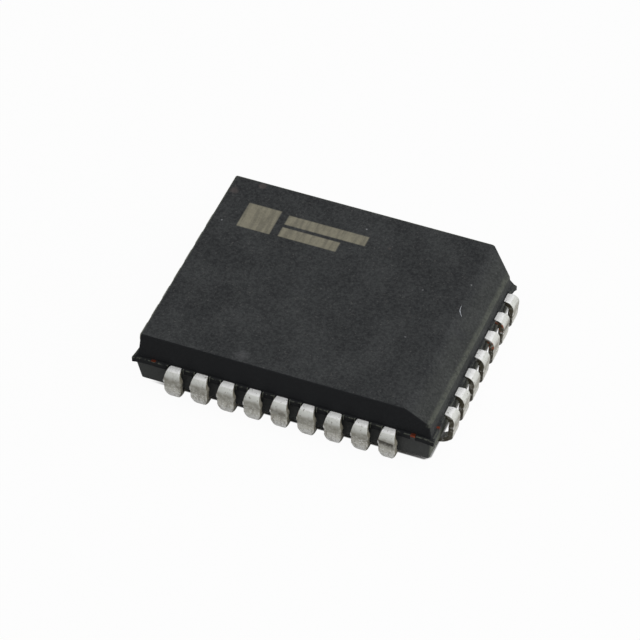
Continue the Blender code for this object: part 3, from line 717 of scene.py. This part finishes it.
LOWER_FROM = (-0.06, -0.01)
PAST_LEADS = (11.0, 11.4)
ON_WALL = (-0.05, -0.02)
ON_END = (-0.04, -0.02)
FLASH_EDGE = (0.04, 0.07)
FLASH_TOP = (-0.05, -0.02)
GAP_EDGE = (0.275, 0.285, 0.300, 0.315)
GAP_REACH = (0.0, 0.03)
GAP_HEIGHT = (-0.03, 0.03)
SLOPE_FOOT_REACH = (-0.25, -0.10)
SLOPE_FOOT_HEIGHT = (0.03, 0.16)
RIM_WIDTH = (0.03, 0.09)
RIM_HEIGHT = (-0.08, -0.05)
PAST_CREASE = (0.0, 0.3)
MARK_BLUR = 0.04
MARK_HEIGHT = (-0.10, -0.02)


def outline(inset, lip=0.0, ragged=0.0):
    """Points round the moulding at one height, with what the flash stands out beyond the wall."""
    half_x = WALL_X - inset
    half_y = WALL_Y - inset
    chamfer = INDEX_CHAMFER - inset * (2 - sqrt(2))
    corners = [
        Vector((-half_x, -half_y)),
        Vector((half_x, -half_y)),
        Vector((half_x, half_y - chamfer)),
        Vector((half_x - chamfer, half_y)),
        Vector((-half_x, half_y)),
    ]
    long_side = 2 * WALL_X
    short_side = 2 * WALL_Y
    cut_corner = INDEX_CHAMFER * sqrt(2)
    lengths = [long_side, short_side - INDEX_CHAMFER, cut_corner, long_side - INDEX_CHAMFER, short_side]
    points = []
    for index, corner in enumerate(corners):
        back = (corners[index - 1] - corner).normalized()
        on = (corners[(index + 1) % len(corners)] - corner).normalized()
        turn = (-back).angle(on)
        outward = -(back + on).normalized()
        square = turn > radians(60)
        tangent = CORNER_RADIUS * tan(turn / 2) if square else 0.0
        centre = corner - outward * CORNER_RADIUS / cos(turn / 2)
        for step in range(LIP_STEPS):
            share = step / LIP_STEPS
            place = corner + back * (LIP_RUN + (tangent - LIP_RUN) * share)
            points.append(place + outward * lip * share**LIP_FLANK_POWER * LIP_FLANK_SHARE)
        for step in range(CORNER_STEPS + 1 if square else 0):
            share = 2 * step / CORNER_STEPS - 1
            radial = Matrix.Rotation(share * turn / 2, 2) @ outward
            swell = 1 - (1 - LIP_FLANK_SHARE) * abs(share)
            points.append(centre + radial * CORNER_RADIUS + outward * lip * swell)
        if not square:
            points.append(corner + outward * lip)
        for step in reversed(range(LIP_STEPS)):
            share = step / LIP_STEPS
            place = corner + on * (LIP_RUN + (tangent - LIP_RUN) * share)
            points.append(place + outward * lip * share**LIP_FLANK_POWER * LIP_FLANK_SHARE)
        normal = Vector((on.y, -on.x))
        side = (corners[(index + 1) % len(corners)] - corner).length - 2 * LIP_RUN
        count = max(2, round((lengths[index] - 2 * LIP_RUN) / SIDE_STEP))
        for step in range(1, count):
            place = corner + on * (LIP_RUN + side * step / count)
            rough = noise.noise(Vector((place.x, place.y, 0)) / SIDE_STEP)
            points.append(place + normal * ragged * rough)
    return points


def upper_inset(height):
    return LAND_STEP + (height - FRAME_TOP) * tan(UPPER_DRAFT)


def lower_inset(height):
    return (FRAME_BOTTOM - height) * tan(LOWER_DRAFT)


def loft(mesh, rings):
    """Closed skin through rings of equal length, with flat ends."""
    rings = [[mesh.verts.new(place) for place in ring] for ring in rings]
    for below, above in zip(rings, rings[1:]):
        for index in range(len(below)):
            after = (index + 1) % len(below)
            mesh.faces.new((below[index], below[after], above[after], above[index]))
    mesh.faces.new(list(reversed(rings[0])))
    mesh.faces.new(rings[-1])


def circle(radius, height, steps):
    turns = [2 * pi * step / steps for step in range(steps)]
    return [Vector((radius * cos(turn), radius * sin(turn), height)) for turn in turns]


def as_mesh(name, mesh):
    bmesh.ops.recalc_face_normals(mesh, faces=mesh.faces)
    data = bpy.data.meshes.new(name)
    mesh.to_mesh(data)
    mesh.free()
    return data


def moulded_skin():
    """Both halves of the moulding with the flash between them, cut by the slope and with rounded edges."""
    rings = [
        (STANDOFF, lower_inset(STANDOFF), 0.0, 0.0),
        (FRAME_BOTTOM, 0.0, LIP_REACH * LIP_UNDER_SHARE, 0.0),
        (FRAME_BOTTOM, -FLASH_REACH, LIP_REACH, FLASH_RAGGED),
        (FRAME_TOP, -FLASH_REACH, LIP_REACH, FLASH_RAGGED),
        (FRAME_TOP, LAND_STEP, LIP_REACH * LIP_OVER_SHARE, 0.0),
    ]
    for step in range(1, LIP_STEPS + 1):
        height = FRAME_TOP + LIP_RISE * step / LIP_STEPS
        lip = LIP_REACH * LIP_OVER_SHARE * (1 - step / LIP_STEPS) ** LIP_FADE_POWER
        rings.append((height, upper_inset(height), lip, 0.0))
    rings.append((TOP_Z, upper_inset(TOP_Z), 0.0, 0.0))
    mesh = bmesh.new()
    loft(mesh, [[(*place, height) for place in outline(*sizes)] for height, *sizes in rings])
    foot = TOP_Z - SLOPE_DROP
    cut = bmesh.ops.bisect_plane(
        mesh,
        geom=mesh.verts[:] + mesh.edges[:] + mesh.faces[:],
        plane_co=(WALL_X - upper_inset(foot), 0, foot),
        plane_no=(SLOPE_DROP, 0, SLOPE_RUN),
        clear_outer=True,
    )
    rim = [part for part in cut["geom_cut"] if isinstance(part, bmesh.types.BMEdge)]
    bmesh.ops.contextual_create(mesh, geom=rim)
    bmesh.ops.recalc_face_normals(mesh, faces=mesh.faces)
    walls = [edge for edge in mesh.edges if edge.calc_face_angle(0) < radians(0.1)]
    ends = {vertex for edge in walls for vertex in edge.verts}
    bmesh.ops.dissolve_edges(mesh, edges=walls, use_verts=False)
    straight = [vertex for vertex in ends if vertex.is_valid and len(vertex.link_edges) == 2]
    bmesh.ops.dissolve_verts(mesh, verts=straight)
    flash = (FRAME_BOTTOM - EDGE_RADIUS, FRAME_TOP + LIP_RISE + EDGE_RADIUS)
    edges = []
    for edge in mesh.edges:
        heights = [vertex.co.z for vertex in edge.verts]
        clear = min(heights) > flash[1] or max(heights) < flash[0]
        if clear and edge.calc_face_angle(0) > radians(20):
            edges.append(edge)
    bmesh.ops.bevel(
        mesh,
        geom=edges,
        offset=EDGE_RADIUS,
        segments=EDGE_SEGMENTS,
        profile=0.5,
        affect="EDGES",
        clamp_overlap=False,
    )
    return as_mesh("molded_body", mesh)


def pressings():
    """What the mould's tools press into the moulding: dimple, ejector mark, foot pockets and flash gaps."""
    mesh = bmesh.new()
    heights = (STANDOFF - OVERRUN, STANDOFF + EJECTOR_DEPTH)
    loft(mesh, [circle(EJECTOR_RADIUS, height, ROUND_STEPS) for height in heights])
    rise = SLOPE_DROP / SLOPE_RUN
    foot = TOP_Z - SLOPE_DROP
    centre = Vector((WALL_X - upper_inset(foot) - DIMPLE_INSET, 0, foot + DIMPLE_INSET * rise))
    turn = Vector((rise, 0, 1)).normalized().to_track_quat("Z", "Y").to_matrix()
    rings = []
    for step in range(1, DIMPLE_RINGS + 1):
        share = step / DIMPLE_RINGS
        height = DIMPLE_RIM * share**4 - DIMPLE_DEPTH * (1 - share**2) ** DIMPLE_POWER
        rings.append(circle(DIMPLE_RADIUS * share, height, ROUND_STEPS))
    rings.append(circle(DIMPLE_RADIUS, OVERRUN, ROUND_STEPS))
    loft(mesh, [[centre + turn @ place for place in ring] for ring in rings])
    reach = bend_centres()[1].x + (FOOT_RADIUS - LEAD_THICKNESS / 2) * cos(-pi / 2 - TAIL_WRAP)
    for quarter, count, wall in QUARTERS:
        turn = Matrix.Rotation(quarter * pi / 2, 3, "Z")
        for index in range(count):
            along = (index - (count - 1) / 2) * LEAD_PITCH
            seat = Vector((along, -wall, 0))
            pocket = []
            for height, inset in ((STANDOFF - OVERRUN, 0), (STANDOFF + POCKET_DEPTH, POCKET_DRAFT)):
                half_x = POCKET_WIDTH / 2 - inset
                half_y = POCKET_LENGTH / 2 - inset
                pocket.append(rounded_box(half_x, half_y, POCKET_CORNER, height))
            middle = seat + Vector((0, -reach, 0))
            loft(mesh, [[turn @ (middle + place) for place in ring] for ring in pocket])
            low = -ROOT_WIDTH / 2 - FLASH_GAP
            high = ROOT_WIDTH / 2 + FLASH_SEAM
            gap = [(low, -FLASH_REACH - OVERRUN), (high, -FLASH_REACH - OVERRUN), (high, 0), (low, 0)]
            heights = (FRAME_BOTTOM - FLASH_SEAM, FRAME_TOP + FLASH_SEAM)
            loft(mesh, [[turn @ (seat + Vector((*place, height))) for place in gap] for height in heights])
    return as_mesh("pressings", mesh)


def rounded_box(half_x, half_y, radius, height):
    points = []
    for quarter, (side_x, side_y) in enumerate(((1, 1), (-1, 1), (-1, -1), (1, -1))):
        for step in range(POCKET_STEPS + 1):
            angle = (quarter + step / POCKET_STEPS) * pi / 2
            x = side_x * (half_x - radius) + radius * cos(angle)
            y = side_y * (half_y - radius) + radius * sin(angle)
            points.append(Vector((x, y, height)))
    return points


def embedded():
    """The solids of the fixed model that the compound flowed round."""
    mesh = bmesh.new()
    for name in (*LEADS, "die_paddle", "die_attach", "silicon_die"):
        mesh.from_mesh(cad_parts[name].data)
    bmesh.ops.remove_doubles(mesh, verts=mesh.verts, dist=1e-8)
    return as_mesh("embedded", mesh)


def painted_edge_light(place, corners):
    """Painted light on the flash's top, and painted highlights at its gaps' edges, the slope's foot and the
    top's rim.
    """
    x, y, z = (place.axis(name) for name in "XYZ")
    patchy = place.blotches(6.0, 3.0, 0.7)
    beyond = (x.maths("ABSOLUTE") - WALL_X / MM).maths("MAXIMUM", y.maths("ABSOLUTE") - WALL_Y / MM)
    flash = beyond.between(*FLASH_EDGE) * (z - FRAME_TOP / MM).between(*FLASH_TOP)
    gap = (x * (MM / LEAD_PITCH)).maths("PINGPONG", 0.5).within(*GAP_EDGE) * (1 - corners)
    gap = gap * beyond.between(*GAP_REACH) * (z - FRAME_BOTTOM / MM).between(*GAP_HEIGHT)
    foot = TOP_Z - SLOPE_DROP
    # Painted highlight along the edge at the slope's foot.
    worn = (x - (WALL_X - upper_inset(foot)) / MM).between(*SLOPE_FOOT_REACH)
    worn = worn * (1 - (z - foot / MM).maths("ABSOLUTE").between(*SLOPE_FOOT_HEIGHT))
    inside = (x - (upper_inset(TOP_Z) - WALL_X) / MM).between(*RIM_WIDTH)
    inside = inside.maths("MINIMUM", ((WALL_Y - upper_inset(TOP_Z)) / MM - y).between(*RIM_WIDTH))
    rim = (1 - inside) * (z - TOP_Z / MM).between(*RIM_HEIGHT)
    pale = (flash * 0.7 * patchy.between(0.42, 0.62)).maths("MAXIMUM", gap)
    pale = pale.maths("MAXIMUM", worn * 0.6 * patchy.between(0.25, 0.60))
    return pale.maths("MAXIMUM", rim * 0.7)


def laser_marks(place, grain):
    """Where the laser has burnt the top: plain fields, filled with fine lines along Y."""
    fields = None
    for centre_x, centre_y, width, height in MARK_FIELDS:
        off_x = (place.axis("X") - centre_x).maths("ABSOLUTE") - width / 2
        off_y = (place.axis("Y") - centre_y).maths("ABSOLUTE") - height / 2
        field = (1 - off_x.between(-MARK_BLUR, MARK_BLUR)) * (1 - off_y.between(-MARK_BLUR, MARK_BLUR))
        fields = field if fields is None else fields.maths("MAXIMUM", field)
    top = (place.axis("Z") - TOP_Z / MM).between(*MARK_HEIGHT)
    drawn = place.vector("MULTIPLY", (MARK_LINES_PER_MM, 0.5, 1)).blotches(1.0, 3.0, 0.6)
    burnt = fields * top * (0.70 + 0.30 * drawn.between(0.35, 0.60))
    return burnt * (0.80 + 0.20 * grain.between(0.3, 0.7))


def compound():
    """Matte charcoal with ground silica in it, laser marks and dust, with painted light and painted shade.
    """
    finish, shader, flow, place = new_finish("mould_compound", 0.66, 0.0, COMPOUND_SPECULAR)
    x, y, z = (place.axis(name) for name in "XYZ")
    grain = place.blotches(8.0, 4.0, 0.75)
    cloud = place.blotches(0.55, 3.0)
    light = 0.12 + grain.between(0.36, 0.64) * 0.50 + cloud.between(0.3, 0.7) * 0.26
    base = light.colour(COMPOUND_DARK, COMPOUND)
    lower = 1 - (z - FRAME_BOTTOM / MM).between(*LOWER_FROM)
    corners = (x.maths("ABSOLUTE") + y.maths("ABSOLUTE")).between(*PAST_LEADS)
    # Painted light and shade: the lower half is paler, as if lit by the white floor, and less so between
    # the leads, which would shade it.
    base = (lower * (0.30 + 0.45 * corners)).colour(base, COMPOUND_LOWER_LIT)
    # Painted light: the lower wall at the +X end is paler, as if lit from the right.
    lit_end_wall = (x - WALL_X / MM + (FRAME_BOTTOM / MM - z) * tan(LOWER_DRAFT)).between(*ON_END)
    base = (lower * lit_end_wall * 0.8).colour(base, COMPOUND_LIT)
    # Painted shade: the upper half of both long walls is near-black.
    shaded_long_walls = y.maths("ABSOLUTE") - (WALL_Y - LAND_STEP) / MM
    shaded_long_walls = (shaded_long_walls + (z - FRAME_TOP / MM) * tan(UPPER_DRAFT)).between(*ON_WALL)
    base = (shaded_long_walls * (1 - lower) * 0.95).colour(base, COMPOUND_DARK)
    # Painted light: the slope is a little paler, as if lit from the right.
    crease = (WALL_X - upper_inset(TOP_Z - SLOPE_DROP) - SLOPE_RUN) / MM
    lit_slope = (x - crease + z - TOP_Z / MM).between(*PAST_CREASE) * (1 - shaded_long_walls)
    base = (lit_slope * 0.09).colour(base, COMPOUND_LIT)
    # Painted light and painted highlights on the flash and along the edges.
    base = painted_edge_light(place, corners).colour(base, COMPOUND_LIT)
    silica = place.blotches(9.0, 2.0).between(0.62, 0.74) * 0.22
    base = (silica * (1 - shaded_long_walls)).colour(base, SILICA)
    burnt = laser_marks(place, grain)
    base = (burnt * MARK_STRENGTH).colour(base, MARK)
    for centre_x, centre_y, radius, strength, colour in SPECKS:
        away = place.vector("DISTANCE", (centre_x, centre_y, TOP_Z / MM))
        away = away + 0.9 * radius * (place.blotches(1.5 / radius, 2.0) - 0.5)
        base = ((1 - away.between(radius * 0.4, radius)) * strength).colour(base, colour)
    base.to(shader, "Base Color")
    (0.64 + 0.12 * grain + 0.08 * burnt).to(shader, "Roughness")
    flow.bump(grain + 0.4 * place.blotches(26.0, 2.0) + 0.3 * burnt, 0.012 * MM).to(shader, "Normal")
    return finish


skin = add_object("molded_skin", moulded_skin())
cutters = [add_object("pressings", pressings()), add_object("embedded", embedded())]
for cutter in cutters:
    step = skin.modifiers.new(cutter.name, "BOOLEAN")
    step.operation = "DIFFERENCE"
    step.solver = "EXACT"
    step.object = cutter
moulding = grow("moulding", skin)
for cutter in cutters:
    bpy.data.objects.remove(cutter)
moulding.data.materials.append(compound())
smooth(moulding)
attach(moulding, "root")
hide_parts("molded_body")

# Lint
# A cotton fibre that has settled on the moulding's slope: a thread thinner than a hair, loosely bent, that
# narrows to both of its ends.
LINT_START = Vector((5.75, 1.36)) * MM
LINT_END = Vector((5.98, 0.82)) * MM
LINT_BEND = Vector((5.71, 0.98)) * MM
LINT_RADIUS = 0.017 * MM
LINT_STEPS = 28
LINT_SIDES = 8
LINT_WOBBLE = 0.03 * MM
LINT_WOBBLES = 3
LINT_TIP_SHARE = 0.35
LINT_SEED = 1643
COTTON = (0.72, 0.75, 0.80)
COTTON_SHADE = (0.40, 0.42, 0.46)


def slope_height(x):
    """Height of the moulding's top over this place, on the flat or on the slope."""
    foot = TOP_Z - SLOPE_DROP
    crease = WALL_X - upper_inset(foot) - SLOPE_RUN
    return TOP_Z - max(0.0, x - crease) * SLOPE_DROP / SLOPE_RUN


def fibre():
    """A closed thread along a bent line just over the slope, with a seeded wobble."""
    noise.seed_set(LINT_SEED)
    path = []
    for step in range(LINT_STEPS + 1):
        share = step / LINT_STEPS
        spot = LINT_START * (1 - share) ** 2 + LINT_BEND * 2 * share * (1 - share) + LINT_END * share**2
        spot = Vector((*spot, 0)) + noise.noise_vector(Vector((share * LINT_WOBBLES, 0, 0))) * LINT_WOBBLE
        path.append(Vector((spot.x, spot.y, slope_height(spot.x) + LINT_RADIUS / 2)))
    rings = []
    for index, spot in enumerate(path):
        ahead = path[min(index + 1, LINT_STEPS)] - path[max(index - 1, 0)]
        turn = ahead.normalized().to_track_quat("Z", "Y").to_matrix()
        share = LINT_TIP_SHARE + (1 - LINT_TIP_SHARE) * sin(pi * index / LINT_STEPS)
        rings.append([spot + turn @ place for place in circle(LINT_RADIUS * share, 0, LINT_SIDES)])
    mesh = bmesh.new()
    loft(mesh, rings)
    return as_mesh("lint_fibre", mesh)


cotton, shader, flow, place = new_finish("cotton", 0.8, 0.0)
twist = place.blotches(30.0, 2.0).between(0.35, 0.65)
twist.colour(COTTON, COTTON_SHADE).to(shader, "Base Color")
(0.7 + 0.2 * twist).to(shader, "Roughness")
flow.bump(twist, 0.002 * MM).to(shader, "Normal")
lint = add_object("lint_fibre", fibre())
lint.data.materials.append(cotton)
smooth(lint)
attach(lint, "root")

# Floor
# A sheet of white card that the chip stands on. The camera sees it as plain white, apart from the chip's
# shadow and the dark patch right under the chip.
CARD = (0.80, 0.80, 0.79)
CAMERA_SHARE = 0.96
MIRRORED_SHARE = 0.30
SHADE_RIGHT = (0.19, 0.26)
SHADE_FRONT = (0.42, 0.49)
SHADE_CORNER = (0.85, 1.00)
SHADE_LEFT = (0.30, 1.60)
SHADE_BACK = (0.20, 0.60)


def seen_directly(flow, mirrored):
    """Shows a place as plain white to the camera, and as a share of white in metal and glass."""
    rays = flow.tree.nodes.new("ShaderNodeLightPath")
    found = Flow(flow.tree, rays.outputs["Is Camera Ray"]) * CAMERA_SHARE
    for name in ("Is Glossy Ray", "Is Transmission Ray"):
        found = found + Flow(flow.tree, rays.outputs[name]) * mirrored
    return found


card, shader, flow, place = new_finish("white_card", 0.9, 0.0, 0.0)
shader.inputs["Base Color"].default_value = (*CARD, 1)
white = flow.node("ShaderNodeEmission", None, {"Color": (1, 1, 1, 1), "Strength": 1.0})
from_right = WALL_X / MM - place.axis("X")
from_left = WALL_X / MM + place.axis("X")
from_front = WALL_Y / MM + place.axis("Y")
from_back = WALL_Y / MM - place.axis("Y")
shade = (from_right + from_front).between(*SHADE_CORNER) * from_right.between(*SHADE_RIGHT)
shade = shade * from_front.between(*SHADE_FRONT) * from_left.between(*SHADE_LEFT)
open_floor = 1 - shade * from_back.between(*SHADE_BACK)
plain = seen_directly(flow, MIRRORED_SHARE) * open_floor
shown = flow.node("ShaderNodeMixShader", None, {0: plain, 1: Flow(flow.tree, shader.outputs[0]), 2: white})
shown.to(flow.tree.nodes["Material Output"], "Surface")
bpy.ops.mesh.primitive_plane_add(size=2.0)
floor = bpy.context.object
floor.name = "floor"
floor.data.materials.append(card)

# World
# White all round to the camera, grey in what the metal mirrors, and a faint even light.
AMBIENT = 0.065
SURROUND = 0.50

world = bpy.data.worlds.new("studio")
bpy.context.scene.world = world
world.use_nodes = True
flow = Flow(world.node_tree)
ambient = flow.tree.nodes["Background"]
ambient.inputs["Color"].default_value = (1, 1, 1, 1)
ambient.inputs["Strength"].default_value = AMBIENT
white = flow.node("ShaderNodeBackground", None, {"Color": (1, 1, 1, 1), "Strength": 1.0})
shown = {0: seen_directly(flow, SURROUND), 1: Flow(flow.tree, ambient.outputs[0]), 2: white}
flow.node("ShaderNodeMixShader", None, shown).to(flow.tree.nodes["World Output"], "Surface")

# Lamps
# Two square soft boxes at the same distance. One hangs over the chip, a little in front of it, and a
# slightly stronger one stands low at its right.
LAMP_DISTANCE = 0.30


def softbox(name, azimuth, elevation, size, power):
    """A square lamp that faces the chip; its azimuth is 0 in front of the chip and 90 at its right."""
    lamp = bpy.data.lights.new(name, "AREA")
    lamp.shape = "SQUARE"
    lamp.size = size
    lamp.energy = power
    a, e = radians(azimuth), radians(elevation)
    away = Vector((sin(a) * cos(e), -cos(a) * cos(e), sin(e)))
    obj = bpy.data.objects.new(name, lamp)
    bpy.context.scene.collection.objects.link(obj)
    obj.location = away * LAMP_DISTANCE
    obj.rotation_euler = away.to_track_quat("Z", "Y").to_euler()


softbox("overhead", azimuth=20, elevation=80, size=0.36, power=0.53)
softbox("right", azimuth=100, elevation=28, size=0.42, power=0.60)

# Camera
# It looks down on the chip from the front and a little from the right, as the photograph does.
LENS = 244.7
CAMERA_AZIMUTH = radians(21.733)
CAMERA_ELEVATION = radians(44.70)
CAMERA_ROLL = radians(-0.082)
CAMERA_DISTANCE = 195.35 * MM
AIM = Vector((-0.432, -0.164, 1.41)) * MM

lens = bpy.data.cameras.new("photo_camera")
lens.sensor_width = 36
lens.lens = LENS
lens.clip_start = 0.0001
camera = bpy.data.objects.new("photo_camera", lens)
bpy.context.scene.collection.objects.link(camera)
level = cos(CAMERA_ELEVATION)
back = Vector((sin(CAMERA_AZIMUTH) * level, -cos(CAMERA_AZIMUTH) * level, sin(CAMERA_ELEVATION)))
turn = back.to_track_quat("Z", "Y").to_matrix().to_4x4() @ Matrix.Rotation(CAMERA_ROLL, 4, "Z")
camera.matrix_world = Matrix.Translation(AIM + back * CAMERA_DISTANCE) @ turn
bpy.context.scene.camera = camera
bpy.context.scene.view_settings.view_transform = "Standard"
